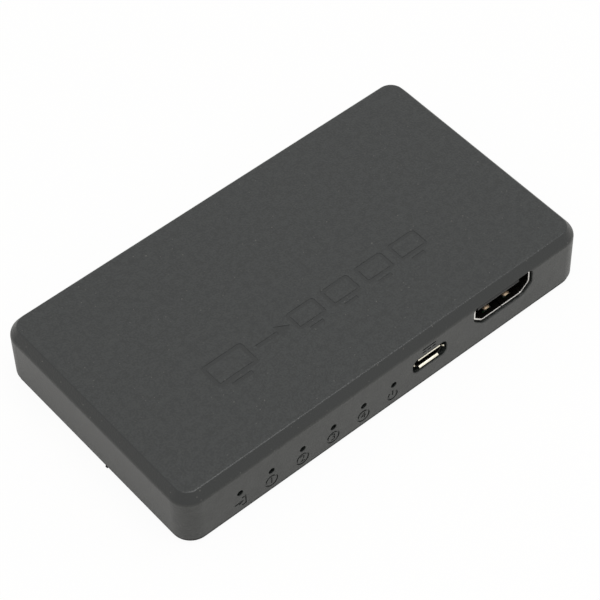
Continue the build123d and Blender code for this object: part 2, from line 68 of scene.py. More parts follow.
# Case: the splitter's cover, moulded in one piece from black plastic in a spark-eroded tool. Its walls rise to
# a flat slope that runs round the roof. Port openings, light holes and sunk legends are moulded in.
class Signal:
    """A value that varies over a surface. Sums written with it add the maths to its nodes."""

    def __init__(self, graph, socket):
        self.graph = graph
        self.socket = socket

    def combine(self, operation, first, second):
        return self.graph.node("ShaderNodeMath", {"operation": operation}, {0: first, 1: second})

    def __add__(self, other):
        return self.combine("ADD", self, other)

    def __radd__(self, other):
        return self.combine("ADD", other, self)

    def __sub__(self, other):
        return self.combine("SUBTRACT", self, other)

    def __rsub__(self, other):
        return self.combine("SUBTRACT", other, self)

    def __mul__(self, other):
        return self.combine("MULTIPLY", self, other)

    def __rmul__(self, other):
        return self.combine("MULTIPLY", other, self)

    def __gt__(self, other):
        return self.combine("GREATER_THAN", self, other)

    def __lt__(self, other):
        return self.combine("LESS_THAN", self, other)

    def __abs__(self):
        return self.combine("ABSOLUTE", self, 0.0)


class Graph:
    """The nodes of a finish, or of the white surround, which all lead to one surface."""

    def __init__(self, tree, ending):
        self.tree = tree
        self.tree.nodes.clear()
        self.surface = self.tree.nodes.new(ending).inputs["Surface"]

    def feed(self, socket, value):
        """Links a signal to a socket, or sets a plain value on it."""
        if isinstance(value, Signal):
            self.tree.links.new(value.socket, socket)
        elif socket.type == "RGBA":
            socket.default_value = (*value, 1.0)
        else:
            socket.default_value = value

    def node(self, kind, settings=None, sockets=None, output=0):
        """Any other node: first its settings, then what its sockets get. Gives back one of its outputs."""
        made = self.tree.nodes.new(kind)
        for name, value in (settings or {}).items():
            setattr(made, name, value)
        for name, value in (sockets or {}).items():
            self.feed(made.inputs[name], value)
        return Signal(self, made.outputs[output])


class Finish(Graph):
    """One of the splitter's finishes: a shader, its even values and the patterns that feed it."""

    def __init__(self, name, **even):
        self.material = bpy.data.materials.new(name)
        self.material.use_nodes = True
        super().__init__(self.material.node_tree, "ShaderNodeOutputMaterial")
        values = {socket.replace("_", " "): value for socket, value in even.items()}
        self.shader = self.node("ShaderNodeBsdfPrincipled", None, values)
        self.feed(self.surface, self.shader)

    def vary(self, socket, value):
        """Feeds one of the shader's own sockets."""
        self.feed(self.shader.socket.node.inputs[socket], value)

    def place(self, stretch=(1, 1, 1)):
        """Where a point of the piece is, in metres, with each direction stretched."""
        where = self.node("ShaderNodeTexCoord", output="Object")
        return self.node("ShaderNodeMapping", None, {"Vector": where, "Scale": stretch})

    def along(self, axis):
        """How far along one axis a point of the piece is, in metres."""
        return self.node("ShaderNodeSeparateXYZ", None, {"Vector": self.place()}, axis)

    def grain(self, size, stretch=(1, 1, 1), detail=2.0):
        """Noise from 0 to 1 whose grains are about that size, in metres."""
        sockets = {"Vector": self.place(stretch), "Scale": 1 / size, "Detail": detail}
        return self.node("ShaderNodeTexNoise", None, sockets, "Fac")

    def step(self, value, low, high):
        """The value's range from low to high, spread over 0 to 1 and held there."""
        sockets = {"Value": value, "From Min": low, "From Max": high}
        return self.node("ShaderNodeMapRange", {"interpolation_type": "SMOOTHSTEP"}, sockets)

    def tint(self, share, first, second):
        """One colour going over to another with the share."""
        return self.node("ShaderNodeMix", {"data_type": "RGBA"}, {0: share, 6: first, 7: second}, 2)

    def wear(self, share, first, second, rough, rougher):
        """Colour that goes from first to second with the share, while the roughness goes up from rough."""
        self.vary("Base Color", self.tint(share, first, second))
        self.vary("Roughness", rough + share * rougher)

    def relief(self, height, depth, strength=1.0):
        """The surface's small hills, as deep as depth in metres where the height goes from 0 to 1."""
        sockets = {"Height": height, "Distance": depth, "Strength": strength}
        self.vary("Normal", self.node("ShaderNodeBump", None, sockets))


def add_block(part, placing, size):
    """A plain block, added to a part."""
    bmesh.ops.create_cube(part, size=1, matrix=placing @ Matrix.Diagonal((*size, 1)))


def add_round(part, placing, low_radius, high_radius, depth, sides):
    """A closed cylinder or cone along Z, or a prism where it has few sides, added to a part."""
    radii = {"radius1": low_radius, "radius2": high_radius}
    bmesh.ops.create_cone(part, cap_ends=True, segments=sides, depth=depth, matrix=placing, **radii)


def round_block(low, high, radius, segments=8):
    """A block between two corners, with its upright edges rounded."""
    part = bmesh.new()
    size = Vector(high) - Vector(low)
    middle = (Vector(high) + Vector(low)) / 2
    add_block(part, Matrix.Translation(middle), size)
    upright = [edge for edge in part.edges if abs(edge.verts[0].co.z - edge.verts[1].co.z) > size.z / 2]
    bevel(part, upright, radius, segments)
    return part


def bevel(part, geometry, offset, segments, affect="EDGES"):
    """Rounds edges of a part, or corners of a flat one."""
    bmesh.ops.bevel(
        part, geom=geometry, offset=offset, segments=segments, profile=0.5, affect=affect, material=-1
    )


def rim(part, height):
    """The edges that lie at one height."""
    return [edge for edge in part.edges if all(abs(vert.co.z - height) < 1e-6 for vert in edge.verts)]


def top_face(part):
    """The highest face of a part."""
    return max(part.faces, key=lambda face: face.calc_center_median().z)


def draw_out(part, way):
    """Extrudes all faces of a flat part one way."""
    grown = bmesh.ops.extrude_face_region(part, geom=part.faces[:])["geom"]
    bmesh.ops.translate(part, vec=way, verts=[item for item in grown if isinstance(item, bmesh.types.BMVert)])


def add(mesh, part, placing=Matrix()):
    """Joins a part to a mesh, at its place."""
    bmesh.ops.transform(part, matrix=placing, verts=part.verts)
    held = bpy.data.meshes.new("held")
    part.to_mesh(held)
    part.free()
    mesh.from_mesh(held)
    bpy.data.meshes.remove(held)


crease = math.radians(35)


def to_object(part, name, sharp_from=crease):
    """A part as an object, smooth but for the edges that turn by more than an angle."""
    mesh = bpy.data.meshes.new(name)
    for face in part.faces:
        face.smooth = True
    part.to_mesh(mesh)
    part.free()
    mesh.set_sharp_from_angle(angle=sharp_from)
    made = bpy.data.objects.new(name, mesh)
    bpy.context.collection.objects.link(made)
    return made


def carve(piece, tool):
    """Takes a tool's shape out of a piece for good."""
    cutting = piece.modifiers.new("carve", "BOOLEAN")
    cutting.object = tool
    cutting.solver = "EXACT"
    cutting.use_self = True
    evaluated = piece.evaluated_get(bpy.context.evaluated_depsgraph_get())
    mesh = bpy.data.meshes.new_from_object(evaluated)
    mesh.set_sharp_from_angle(angle=crease)
    piece.modifiers.clear()
    piece.data = mesh
    bpy.data.objects.remove(tool)


def finished(piece, finish, slot, *nodes):
    """Gives a piece its finish and weighted shading, and sets it on the splitter in place of CAD nodes."""
    piece.data.materials.clear()
    piece.data.materials.append(finish.material)
    shading = piece.modifiers.new("shading", "WEIGHTED_NORMAL")
    shading.keep_sharp = True
    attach(piece, "root")
    if nodes:
        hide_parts(*nodes)


def receptacle_block(form, grow, near, far):
    """A receptacle's outline, wide side up with its lower corners cut, drawn from near to far along Y.

    Its upper corners are rounded in full, and the ends of the cuts a little less.
    """
    width, height, run, rise, radius = form
    half = width / 2 + grow
    top = height + grow
    slant = math.hypot(run, rise)
    low_x = width / 2 - run + grow * (slant - run) / rise
    side_z = rise - grow * (slant - rise) / run
    part = bmesh.new()
    outline = [(-half, top), (-half, side_z), (-low_x, -grow), (low_x, -grow), (half, side_z), (half, top)]
    part.faces.new([part.verts.new((x, near, z)) for x, z in outline])
    for upper, share in ((True, 1.0), (False, 0.6)):
        corners = [vert for vert in part.verts if (vert.co.z > height * 0.75) == upper]
        bevel(part, corners, (radius + grow) * share, 4, "VERTICES")
    draw_out(part, (0, far - near, 0))
    bmesh.ops.holes_fill(part, edges=part.edges[:], sides=0)
    bmesh.ops.recalc_face_normals(part, faces=part.faces[:])
    return part


def flare(part, chamfer, beyond=0.001):
    """Widens an opening's tool outwards, for a chamfered rim, and then carries it on past the wall."""
    mouth = min(part.faces, key=lambda face: face.calc_center_median().y)
    for reach, widen in ((chamfer, chamfer), (beyond, 0)):
        mouth = bmesh.ops.extrude_discrete_faces(part, faces=[mouth])["faces"][0]
        bmesh.ops.translate(part, vec=(0, -reach, 0), verts=mouth.verts[:])
        places = [vert.co for vert in mouth.verts]
        wide, high = (max(co[axis] for co in places) - min(co[axis] for co in places) for axis in (0, 2))
        factors = (1 + 2 * widen / wide, 1, 1 + 2 * widen / high)
        middle = Matrix.Translation(-mouth.calc_center_bounds())
        bmesh.ops.scale(part, vec=factors, space=middle, verts=mouth.verts[:])
    return part


case_low, case_high = (Vector(corner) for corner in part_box("top_shell"))
case_wall = 0.0018
case_corner = 0.0044
corner_steps = 14
slope_run = 0.0015
slope_drop = 0.00215
slope_foot = case_high.z - slope_drop
slope_foot_round = 0.00045
roof_round = 0.00022
wall_foot_round = 0.00012
ceiling = 0.01248
past = 0.0005  # how far a tool reaches past the wall that it cuts
case = round_block(case_low, (case_high.x, case_high.y, slope_foot), case_corner, corner_steps)
sloping = {"thickness": slope_run, "depth": slope_drop, "use_even_offset": True, "use_boundary": True}
bmesh.ops.inset_region(case, faces=[top_face(case)], **sloping)
bevel(case, rim(case, slope_foot), slope_foot_round, 4)
bevel(case, rim(case, case_high.z), roof_round, 3)
bevel(case, rim(case, case_low.z), wall_foot_round, 2)
case = to_object(case, "case")
hollow_low = case_low + Vector((case_wall, case_wall, -2 * past))
hollow_high = (case_high.x - case_wall, case_high.y - case_wall, ceiling)
carve(case, to_object(round_block(hollow_low, hollow_high, case_corner - case_wall), "hollow"))

# Port openings: each follows its receptacle's outline, with an even gap and a small chamfer. The HDMI form is
# the inner width and height, the run and rise of the cut corners, and the corner radius.
openings = bmesh.new()
port_rim = 0.00012
hdmi_form = (0.014, 0.00455, 0.00195, 0.00175, 0.0004)
hdmi_sheet_thickness = 0.00035
hdmi_port_gap = 0.00035
hdmi_places = {}
for port in ["input"] + [f"output_{number}" for number in range(1, 5)]:
    low, high = (Vector(corner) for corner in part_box(f"{port}_hdmi_shell"))
    in_front = port == "input"
    mouth_y = low.y if in_front else high.y
    mouth = Vector(((low.x + high.x) / 2, mouth_y, high.z - hdmi_sheet_thickness - hdmi_form[1]))
    hdmi_places[port] = Matrix.Translation(mouth) @ Matrix.Rotation(0 if in_front else math.pi, 4, "Z")
    outside = case_low.y - low.y if in_front else high.y - case_high.y
    near, far = outside + port_rim, outside + case_wall + past
    tool = receptacle_block(hdmi_form, hdmi_sheet_thickness + hdmi_port_gap, near, far)
    add(openings, flare(tool, port_rim), hdmi_places[port])
usb_low, usb_high = (Vector(corner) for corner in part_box("micro_usb_shell"))
usb_side_gap = 0.0003
usb_top_gap = 0.00062
usb_opening_floor = 0.00542
usb_opening_corner = 0.0014
usb_opening_low = Vector((usb_low.x - usb_side_gap, -(usb_high.z + usb_top_gap), case_low.y + port_rim))
usb_opening_high = Vector((usb_high.x + usb_side_gap, -usb_opening_floor, case_low.y + case_wall + past))
tool = round_block(usb_opening_low, usb_opening_high, usb_opening_corner)
bmesh.ops.transform(tool, matrix=Matrix.Rotation(math.radians(-90), 4, "X"), verts=tool.verts)
add(openings, flare(tool, port_rim))
light_hole = 0.00068
light_hole_depth = 0.0022
light_hole_rim = 0.00008
light_hole_sides = 28
led_places = []
for number in range(1, 7):
    low, high = (Vector(corner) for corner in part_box(f"status_led_{number}"))
    x, z = (low.x + high.x) / 2, (low.z + high.z) / 2
    led_places.append((x, z))
    tool = bmesh.new()
    lying = Matrix.Rotation(math.radians(90), 4, "X")
    add_round(tool, lying, light_hole, light_hole, light_hole_depth, light_hole_sides)
    middle = Vector((x, case_low.y + light_hole_rim + light_hole_depth / 2, z))
    bmesh.ops.translate(tool, vec=middle, verts=tool.verts)
    add(openings, flare(tool, light_hole_rim))
carve(case, to_object(openings, "openings"))

# Sunk legends: circled numbers under the output lights and under the outputs at the back, and plain signs for
# input, power and direct current in front.
legend_depth = 0.00015
legend_line = 0.00036
full_turn = 2 * math.pi


def bars(*places, depth=legend_depth):
    """Straight strokes of a legend: the middle, width and height of each."""
    part = bmesh.new()
    for x, y, width, height in places:
        add_block(part, Matrix.Translation((x, y, 0)), (width, height, 2 * depth))
    return part


def hoop(radius, start=0.0, sweep=full_turn):
    """A round stroke of a legend, whole or with a gap."""
    part = bmesh.new()
    around = Matrix.Rotation(start, 4, "Z")
    sides = ((-1, -1), (1, -1), (1, 1), (-1, 1))
    places = [(radius + outward * legend_line / 2, 0, upward * legend_depth) for outward, upward in sides]
    corners = [part.verts.new(around @ Vector(place)) for place in places]
    edges = [part.edges.new((corners[index - 1], corners[index])) for index in range(4)]
    turning = {"cent": (0, 0, 0), "axis": (0, 0, 1), "angle": sweep, "steps": 36}
    bmesh.ops.spin(part, geom=corners + edges, use_merge=sweep == full_turn, **turning)
    bmesh.ops.holes_fill(part, edges=part.edges[:], sides=0)
    bmesh.ops.recalc_face_normals(part, faces=part.faces[:])
    return part


def numeral(body, size):
    """A plain number."""
    text = bpy.data.curves.new("numeral", "FONT")
    text.body = body
    text.size = size
    text.align_x = "CENTER"
    text.align_y = "CENTER"
    text.extrude = legend_depth
    text.resolution_u = 3
    holder = bpy.data.objects.new("numeral", text)
    bpy.context.collection.objects.link(holder)
    evaluated = holder.evaluated_get(bpy.context.evaluated_depsgraph_get())
    part = bmesh.new()
    part.from_mesh(bpy.data.meshes.new_from_object(evaluated))
    bmesh.ops.remove_doubles(part, verts=part.verts[:], dist=1e-7)
    bmesh.ops.recalc_face_normals(part, faces=part.faces[:])
    bpy.data.objects.remove(holder)
    return part


def arrow_head(x, y, radius, depth=legend_depth):
    """A filled arrow head that points along X."""
    part = bmesh.new()
    turned = Matrix.Translation((x, y, 0)) @ Matrix.Rotation(math.radians(-90), 4, "Z")
    add_round(part, turned, radius, radius, 2 * depth, 3)
    return part


def on_front(x, z):
    """The place of a legend on the front wall."""
    return Matrix.Translation((x, case_low.y, z)) @ Matrix.Rotation(math.radians(90), 4, "X")


def on_back(x, z):
    """The place of a legend on the back wall."""
    return Matrix.Rotation(math.pi, 4, "Z") @ on_front(-x, z)


legends = bmesh.new()
legend_row = 0.00385
ring_radius = 0.00138
ring_left = 0.00015
number_size = 0.0027
numbered = [on_front(x - ring_left, legend_row) for x, z in led_places[1:5]]
numbered += [on_back(hdmi_places[f"output_{number}"].translation.x, legend_row) for number in range(1, 5)]
for index, placing in enumerate(numbered):
    add(legends, hoop(ring_radius), placing)
    add(legends, numeral(str(index % 4 + 1), number_size), placing)

input_left = 0.0001
input_sign = on_front(led_places[0][0] - input_left, legend_row)
arrow_shaft = (-0.00085, 0, 0.001, legend_line)
arrow_tip = (0.00005, 0, 0.00078)
bracket_back = (0.00125, 0, legend_line, 0.0026)
bracket_arms = [(0.0007, side * 0.00111, 0.00066, legend_line) for side in (1, -1)]
add(legends, bars(arrow_shaft), input_sign)
add(legends, arrow_head(*arrow_tip), input_sign)
add(legends, bars(bracket_back, *bracket_arms), input_sign)

power_left = 0.0003
power_sign = on_front(led_places[5][0] - power_left, legend_row)
power_ring = 0.00112
ring_start, ring_sweep = math.radians(125), math.radians(290)
power_stroke = (0, 0.00075, legend_line, 0.0014)
add(legends, hoop(power_ring, ring_start, ring_sweep), power_sign)
add(legends, bars(power_stroke), power_sign)

current_x, current_z = 0.0094, 0.0108
current_sign = on_front(current_x, current_z)
current_line = (0, 0.0004, 0.0034, legend_line)
current_dashes = [(middle, -0.0004, 0.0009, legend_line) for middle in (-0.00125, 0, 0.00125)]
add(legends, bars(current_line), current_sign)
add(legends, bars(*current_dashes), current_sign)
carve(case, to_object(legends, "legends"))

# Sunk picture on the roof, barely deeper than the grain: one screen, an arrow, and the four that it feeds.
picture_depth = 0.00005
wide_stroke = 0.0009
thin_stroke = wide_stroke * 0.85
screen_corner = 0.0008


def screen(x, y, width, height, line):
    """A screen's outline: an even line with round corners."""
    part = bmesh.new()
    placing = Matrix.Translation((x, y, -picture_depth)) @ Matrix.Diagonal((width, height, 1, 1))
    bmesh.ops.create_grid(part, x_segments=1, y_segments=1, size=0.5, matrix=placing)
    bevel(part, part.verts[:], screen_corner, 5, "VERTICES")
    lining = {"thickness": line, "use_even_offset": True, "use_boundary": True}
    border = bmesh.ops.inset_region(part, faces=part.faces[:], **lining)["faces"]
    middle = [face for face in part.faces if face not in border]
    bmesh.ops.delete(part, geom=middle, context="FACES")
    draw_out(part, (0, 0, 2 * picture_depth))
    bmesh.ops.recalc_face_normals(part, faces=part.faces[:])
    return part


picture = bmesh.new()
picture_place = Matrix.Translation((-0.00195, -0.0094, case_high.z))
screen_row = 0.0007
source_x = -0.0215
source_size = (0.0098, 0.006)
source_stand = (source_x, -0.00325, 0.0046, wide_stroke)
link_shaft = (-0.0124, screen_row, 0.0052, wide_stroke)
link_tip = (-0.0087, screen_row, 0.0019)
add(picture, screen(source_x, screen_row, *source_size, wide_stroke), picture_place)
add(picture, bars(source_stand, link_shaft, depth=picture_depth), picture_place)
add(picture, arrow_head(*link_tip, picture_depth), picture_place)
first_x, screen_pitch = -0.0028, 0.0086
screen_size = (0.007, 0.0048)
stand_row, stand_width = -0.0026, 0.0032
for number in range(4):
    x = first_x + screen_pitch * number
    add(picture, screen(x, screen_row, *screen_size, thin_stroke), picture_place)
    add(picture, bars((x, stand_row, stand_width, thin_stroke), depth=picture_depth), picture_place)
carve(case, to_object(picture, "picture"))

# Case finish: fine specks on walls and roof, a rubbed roof edge, a little dust, and painted shade on the
# slope.
case_finish = Finish("case_plastic", IOR=1.58)
spark = case_finish.grain(0.0004, detail=3.0)
cloud = case_finish.grain(0.0016, detail=3.0)
speck = case_finish.step(spark * 0.6 + cloud * 0.4, 0.38, 0.62)
height = case_finish.along("Z")
rubbed = (height < case_high.z - 0.00001) * (height > case_high.z - 0.0002)
# The slope gets no specks and keeps the darkest tone: painted shade that makes the slope band darker.
above_foot = case_finish.step(height, slope_foot - 0.0001, slope_foot + 0.0002)
slope_painted_shade = above_foot * (height < case_high.z - 0.00002)
plastic = case_finish.tint(speck * (1 - slope_painted_shade), (0.0035, 0.0050, 0.0043), (0.0150, 0.0173, 0.0162))
dust = case_finish.step(case_finish.grain(0.0005, detail=0.0), 0.81, 0.86)
case_finish.vary("Base Color", case_finish.tint(dust * 0.6, plastic, (0.11, 0.105, 0.095)))
case_finish.vary("Roughness", 0.33 + spark * 0.14 - rubbed * 0.06)
case_finish.relief(spark * 0.8 + cloud * 0.2, 0.0001, 0.9)
finished(case, case_finish, "case_plastic", "top_shell")


# Bottom cover: a moulded plate in the same black plastic, set in a hair from the walls, with screw seats and
# pockets for the feet. On its left edge is the stub where the tool's gate was trimmed.
cover_low, cover_high = (Vector(corner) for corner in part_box("bottom_cover"))
cover_edge = 0.001
cover_corner = 0.00415
cover_round = 0.0003
cover_outer = (cover_high.x, cover_high.y, cover_low.z + cover_edge)
cover = round_block(cover_low, cover_outer, cover_corner, corner_steps)
bevel(cover, rim(cover, cover_low.z), cover_round, 4)
fit_top = cover_low.z + 0.0015
fit_step = Vector((0.0017, 0.0017, 0))
fit_overlap = Vector((0, 0, 0.0002))
fit_corner = 0.00245
fit_low = cover_low + fit_step + Vector((0, 0, cover_edge))
fit_high = Vector((cover_high.x, cover_high.y, fit_top)) - fit_step
add(cover, round_block(fit_low - fit_overlap, fit_high, fit_corner))
cover = to_object(cover, "bottom_cover_plate")
seats = bmesh.new()
screw_places = [(side * 0.0448, end * 0.0228) for side in (-1, 1) for end in (-1, 1)]
screw_sides = 40
seat_radius = 0.00245
seat_depth = 0.0019
for x, y in screw_places:
    placing = Matrix.Translation((x, y, cover_low.z))
    add_round(seats, placing, seat_radius, seat_radius, seat_depth, screw_sides)
pocket_gap = Vector((0.00015, 0.00015, 0))
pocket_corner = 0.00135
for number in range(1, 5):
    low, high = (Vector(corner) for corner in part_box(f"rubber_foot_{number}"))
    pocket_low = low - pocket_gap - Vector((0, 0, past))
    add(seats, round_block(pocket_low, high + pocket_gap, pocket_corner))
carve(cover, to_object(seats, "seats"))
stub = bmesh.new()
stub_middle = (-0.04985, -0.0035, 0.00078)
stub_size = (0.0003, 0.0006, 0.00032)
stub_round = 0.00008
add_block(stub, Matrix.Translation(stub_middle), stub_size)
bevel(stub, stub.edges[:], stub_round, 2)
stub = to_object(stub, "gate_stub")
cover_finish = Finish("cover_plastic", IOR=1.4)
cover_grain = cover_finish.grain(0.00025, detail=2.0)
flow = cover_finish.grain(0.012, (1, 2.5, 1))
cover_finish.wear(flow, (0.008, 0.009, 0.008), (0.014, 0.015, 0.014), 0.5, 0.12)
cover_finish.relief(cover_grain, 0.00002, 0.5)
finished(cover, cover_finish, "cover_plastic", "bottom_cover")
finished(stub, cover_finish, "cover_plastic")


# Cover screws: black zinc-plated self-tapping screws with flat heads and a cross recess, driven from below.
# Each sits in its seat, flush with the cover.
head_lift = 0.00048
head_height = 0.00084
head_face_radius = 0.00225
head_back_radius = 0.0024
shank_step = 0.00115
shank_length = 0.0061
tip_length = 0.001
tip_share = 0.35
cross_arm = (0.0026, 0.00052, 0.00125)
steel_edge = 0.00006


def soften(piece, width, turn):
    """Rounds the edges of a piece that turn by more than an angle, given in degrees."""
    edges = piece.modifiers.new("edges", "BEVEL")
    edges.width = width
    edges.segments = 2
    edges.limit_method = "ANGLE"
    edges.angle_limit = math.radians(turn)


cover_screws = bmesh.new()
crosses = bmesh.new()
for x, y in screw_places:
    screw = bmesh.new()
    head = Matrix.Translation((x, y, cover_low.z + head_lift))
    add_round(screw, head, head_face_radius, head_back_radius, head_height, screw_sides)
    shank = top_face(screw)
    bmesh.ops.inset_region(screw, faces=[shank], thickness=shank_step, use_even_offset=True)
    for reach, share in ((shank_length, 1.0), (tip_length, tip_share)):
        shank = bmesh.ops.extrude_discrete_faces(screw, faces=[shank])["faces"][0]
        bmesh.ops.translate(screw, vec=(0, 0, reach), verts=shank.verts[:])
        middle = Matrix.Translation(-shank.calc_center_bounds())
        bmesh.ops.scale(screw, vec=(share, share, 1), space=middle, verts=shank.verts[:])
    add(cover_screws, screw)
    for turn in (20, 110):
        placing = Matrix.Translation((x, y, cover_low.z)) @ Matrix.Rotation(math.radians(turn), 4, "Z")
        add_block(crosses, placing, cross_arm)
cover_screws = to_object(cover_screws, "cover_screw_set")
carve(cover_screws, to_object(crosses, "crosses"))
soften(cover_screws, steel_edge, 40)
screw_finish = Finish("black_zinc", Metallic=1.0)
scuff = screw_finish.grain(0.0009, detail=4.0)
screw_finish.wear(scuff, (0.10, 0.10, 0.105), (0.24, 0.24, 0.25), 0.32, 0.25)
screw_finish.relief(screw_finish.grain(0.0002, detail=2.0), 0.000008, 0.5)
finished(cover_screws, screw_finish, "screw_steel", "cover_screws")


# Rubber feet: four die-cut pads of grey-black silicone rubber, stuck in the cover's pockets so that half of
# their thickness stands proud. Their lower edges are rounded by the die.
foot_corner = 0.0012
foot_round = 0.0002
rubber_finish = Finish("foot_rubber", IOR=1.45)
rubber_grain = rubber_finish.grain(0.00018, detail=3.0)
dust = rubber_finish.step(rubber_finish.grain(0.0012, detail=4.0), 0.52, 0.75)
rubber_finish.wear(dust, (0.020, 0.020, 0.021), (0.045, 0.044, 0.042), 0.68, 0.15)
rubber_finish.relief(rubber_grain, 0.00002, 0.6)
for number in range(1, 5):
    low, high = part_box(f"rubber_foot_{number}")
    foot = round_block(low, high, foot_corner)
    bevel(foot, rim(foot, low[2]), foot_round, 3)
    finished(to_object(foot, f"foot_pad_{number}"), rubber_finish, "rubber", f"rubber_foot_{number}")


# HDMI receptacles: a shell folded from nickel-plated steel sheet with a seam below, sprung fingers pressed in
# from floor and roof, and legs through the board. A black body fills the back and carries the contacts.
hdmi_length = 0.011
hdmi_floor_over_board = 0.00108
seam = 0.00022
window_half = 0.00118
window_front = 0.001
window_back = 0.0052
leg_middle = 0.0064
leg_half = 0.0016
leg_tip_half = 0.001
leg_tip_length = 0.0021
finger_middle = 0.0026
finger_half = 0.00096
finger_front_gap = 0.0001
finger_overlap = 0.0006
finger_thickness = 0.00018
finger_arch = 0.00008
finger_sink = 0.00002
dimple_rise = 0.0005
dimple_radius = 0.00083
dimple_way = 0.00177
dimple_fullness = 0.55
metal_edge = 0.00003


def receptacle_sheet(form, near, far):
    """A receptacle's folded sheet, open at both ends, at the inner face of the metal."""
    sheet = receptacle_block(form, 0, near, far)
    ends = [face for face in sheet.faces if abs(face.normal.y) > 0.9]
    bmesh.ops.delete(sheet, geom=ends, context="FACES_ONLY")
    return sheet


def scribe(sheet, axis, *places):
    """Divides a sheet along lines across one axis."""
    normal = Vector([1 if index == axis else 0 for index in range(3)])
    for place in places:
        geometry = sheet.verts[:] + sheet.edges[:] + sheet.faces[:]
        bmesh.ops.bisect_plane(sheet, geom=geometry, plane_co=normal * place, plane_no=normal, dist=1e-7)


def pressed(part, name, thickness, edge):
    """A sheet as a stamped piece: its thickness outside and its edges a little rounded."""
    piece = to_object(part, name, math.radians(40))
    metal = piece.modifiers.new("metal", "SOLIDIFY")
    metal.thickness = thickness
    metal.offset = 1
    metal.use_even_offset = True
    soften(piece, edge, 50)
    return piece


def hdmi_sheet():
    """One HDMI shell with its mouth at the origin."""
    sheet = receptacle_sheet(hdmi_form, 0, hdmi_length)
    offsets = (-window_half, -finger_half, finger_half, window_half)
    lines = [side * (finger_middle + offset) for side in (-1, 1) for offset in offsets]
    scribe(sheet, 0, -seam / 2, seam / 2, *lines)
    scribe(sheet, 1, window_front, window_back)
    gone = []
    for face in sheet.faces:
        x, y, z = face.calc_center_median()
        in_floor = z < 1e-5
        in_roof = z > hdmi_form[1] - 1e-5
        in_window = abs(abs(x) - finger_middle) < window_half and window_front < y < window_back
        if (in_floor or in_roof) and in_window or in_floor and abs(x) < seam / 2:
            gone.append(face)
    bmesh.ops.delete(sheet, geom=gone, context="FACES")
    shoulder = -hdmi_floor_over_board
    leg_tip = shoulder - leg_tip_length
    for side in (-1, 1):
        flank = [(leg_half, hdmi_form[3]), (leg_half, shoulder), (leg_tip_half, shoulder)]
        flank.append((leg_tip_half, leg_tip))
        outline = [(-y, z) for y, z in flank] + flank[::-1]
        if side < 0:
            outline.reverse()
        x = side * hdmi_form[0] / 2
        sheet.faces.new([sheet.verts.new((x, leg_middle + y, z)) for y, z in outline])
    bmesh.ops.remove_doubles(sheet, verts=sheet.verts[:], dist=1e-6)
    return sheet


def hdmi_fingers():
    """The four sprung fingers of one shell, each with a round dimple pressed in near its free end."""
    fingers = bmesh.new()
    front = window_front + finger_front_gap
    reach = (window_back + finger_overlap - front) / 2
    for side in (-1, 1):
        for root, inward in ((0, 1), (hdmi_form[1], -1)):
            before = set(fingers.verts)
            placing = Matrix.Translation((side * finger_middle, front + reach, root))
            placing = placing @ Matrix.Diagonal((finger_half, reach, 1, 1))
            bmesh.ops.create_grid(fingers, x_segments=16, y_segments=44, size=1, matrix=placing)
            strip = [vert for vert in fingers.verts if vert not in before]
            for vert in strip:
                across = (vert.co.x - side * finger_middle) / dimple_radius
                along = (vert.co.y - dimple_way) / dimple_radius
                dimple = max(0.0, 1 - across * across - along * along) ** dimple_fullness
                lean = (front + 2 * reach - vert.co.y) / (2 * reach)
                arch = finger_arch * math.sin(math.pi * lean)
                vert.co.z += inward * (dimple_rise * dimple + arch - finger_sink)
            if inward > 0:
                faces = [face for face in fingers.faces if all(vert in strip for vert in face.verts)]
                bmesh.ops.reverse_faces(fingers, faces=faces)
    return fingers


def nickel(finish, dull=(0.78, 0.765, 0.735), bright=(0.90, 0.885, 0.855)):
    """Satin nickel plate with drawing marks along the shell. Gives back its colour."""
    drawn = finish.grain(0.0004, (1, 0.08, 1), 3.0)
    finish.vary("Roughness", 0.28 + drawn * 0.14)
    finish.relief(drawn, 0.000006, 0.5)
    return finish.tint(finish.grain(0.0025, detail=3.0), dull, bright)


hdmi_mouth = 0.0275
# Almost black for the metal deep inside the ports and inlet: painted shade.
painted_inner_shade = (0.030, 0.028, 0.025)
shell_finish = Finish("nickel_shell", Metallic=1.0)
# The shell is painted dark from just behind its mouth inwards: painted shade inside the port.
painted_shade_within = shell_finish.step(abs(shell_finish.along("Y")), hdmi_mouth - 0.00002, hdmi_mouth - 0.0002)
shell_finish.vary("Base Color", shell_finish.tint(painted_shade_within, nickel(shell_finish), painted_inner_shade))
finger_finish = Finish("sprung_fingers", Metallic=0.9)
tarnish = finger_finish.grain(0.0005, detail=4.0)
finger_height = finger_finish.along("Z")
floor_level = hdmi_places["input"].translation.z
roof_level = floor_level + hdmi_form[1]
# The fingers are painted dark but for the tops of their dimples, which keep the bronze: painted shade on the
# rest.
dome_start, dome_end = 0.00012, 0.0002
unshaded_dome_tops = finger_finish.step(finger_height, floor_level + dome_start, floor_level + dome_end)
unshaded_dome_tops = unshaded_dome_tops * finger_finish.step(finger_height, roof_level - dome_start, roof_level - dome_end)
bronze = finger_finish.tint(tarnish, (0.42, 0.32, 0.22), (0.31, 0.23, 0.155))
finger_finish.vary("Base Color", finger_finish.tint(unshaded_dome_tops, painted_inner_shade, bronze))
finger_finish.vary("Roughness", 0.36 + tarnish * 0.2)
body_finish = Finish("connector_body")
moulded = body_finish.grain(0.00022, detail=2.0)
body_finish.wear(moulded, (0.010, 0.010, 0.010), (0.018, 0.018, 0.018), 0.42, 0.14)
body_finish.relief(moulded, 0.00001, 0.5)
gold_finish = Finish("gold_flash", Metallic=1.0)
worn = gold_finish.grain(0.0006, detail=4.0)
gold_finish.wear(worn, (0.86, 0.66, 0.30), (0.74, 0.56, 0.28), 0.20, 0.15)


def coat(finish, *nodes):
    """Gives CAD nodes a finish."""
    for node in nodes:
        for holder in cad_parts[node].material_slots:
            holder.material = finish.material


